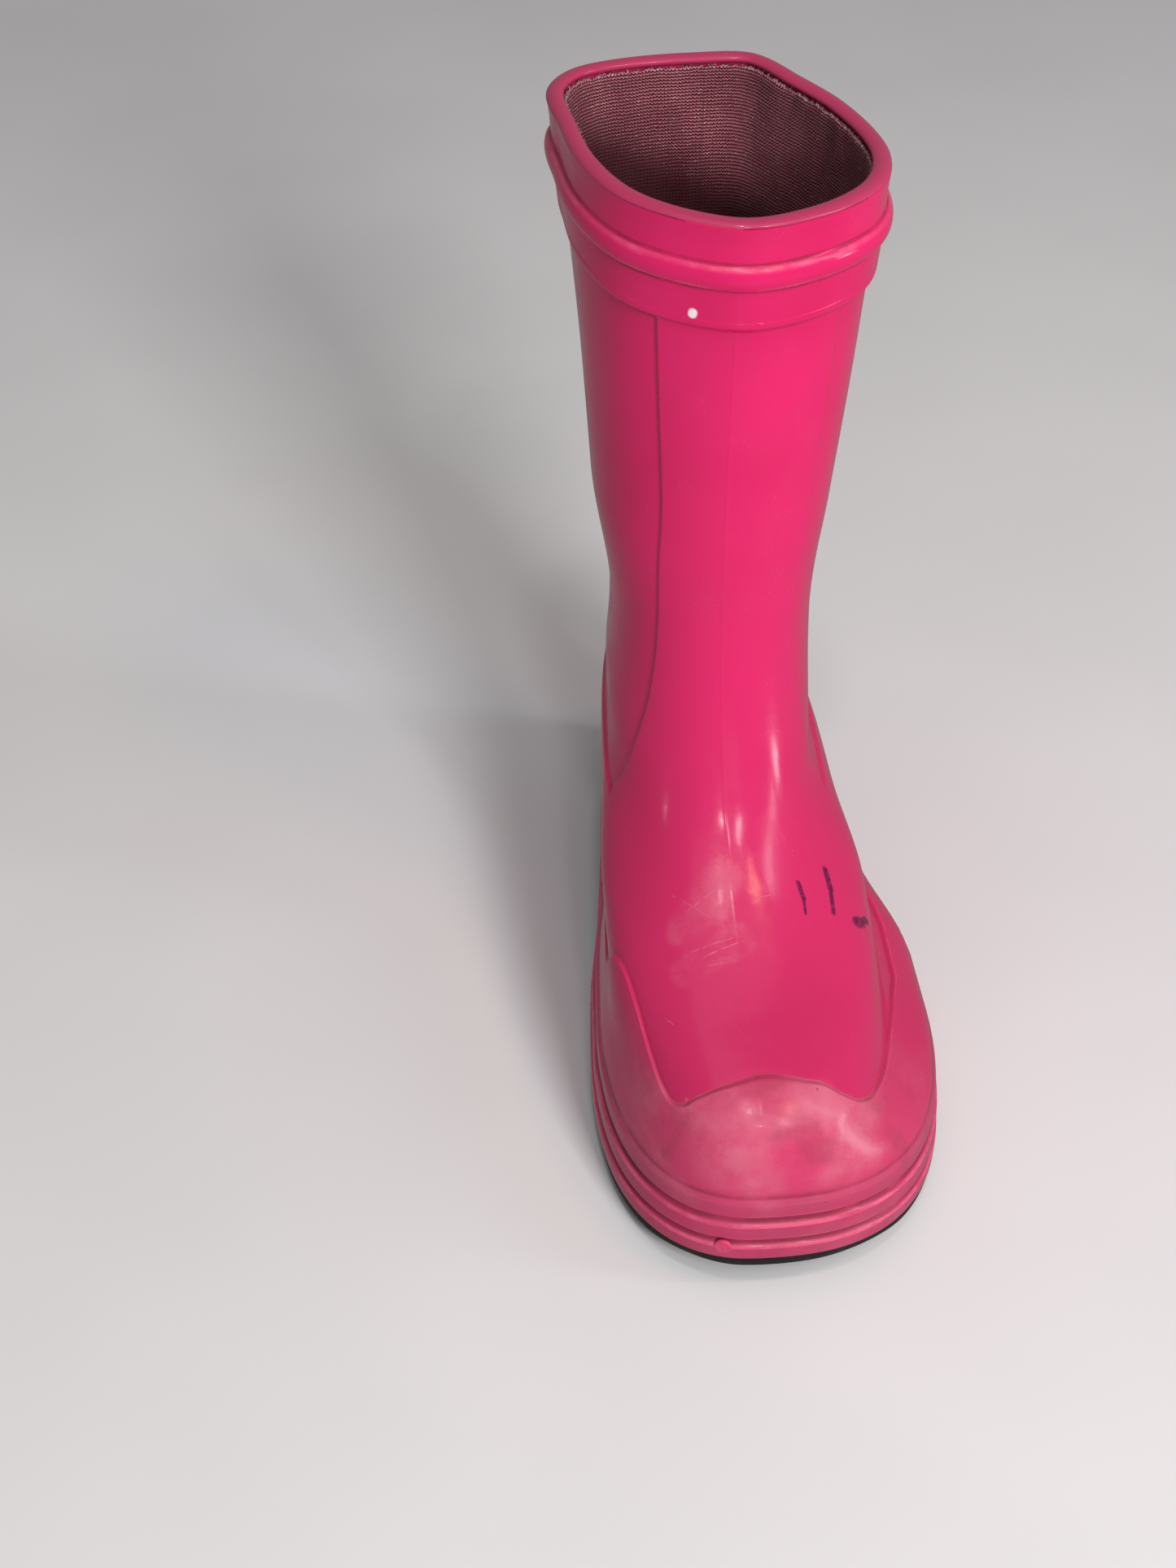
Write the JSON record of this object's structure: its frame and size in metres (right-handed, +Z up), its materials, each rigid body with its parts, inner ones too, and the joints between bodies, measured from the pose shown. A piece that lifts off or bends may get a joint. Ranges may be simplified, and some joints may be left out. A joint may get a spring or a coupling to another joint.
{
  "type": "rubber rain boot",
  "caption": "Child's pull-on rubber rain boot, left foot: glossy moulded shell with ribbed foxing and collar, knitted sock lining, loose footbed and treaded outsole.",
  "frame": {"origin": "on the ground, under the middle of the boot's bounding box", "axes": "+Z up, toe towards -Y, heel towards +Y, outer side of the foot towards +X, inner side towards -X"},
  "size_m": [0.0994, 0.213, 0.2328],
  "materials": {
    "pink_rubber": "gloss",
    "dark_rubber": "matte",
    "knit": "knitted, slightly lustrous yarn",
    "foam": "fine closed-cell foam",
    "footbed_cloth": "brushed jersey",
    "core_foam": "coarse foam"
  },
  "bodies": {
    "root": {"upper_shell": "pink_rubber", "sock_lining": "knit", "footbed_foam": "foam", "footbed_cloth": "footbed_cloth", "outsole": "dark_rubber", "heel_core": "core_foam"}
  },
  "joints": []
}
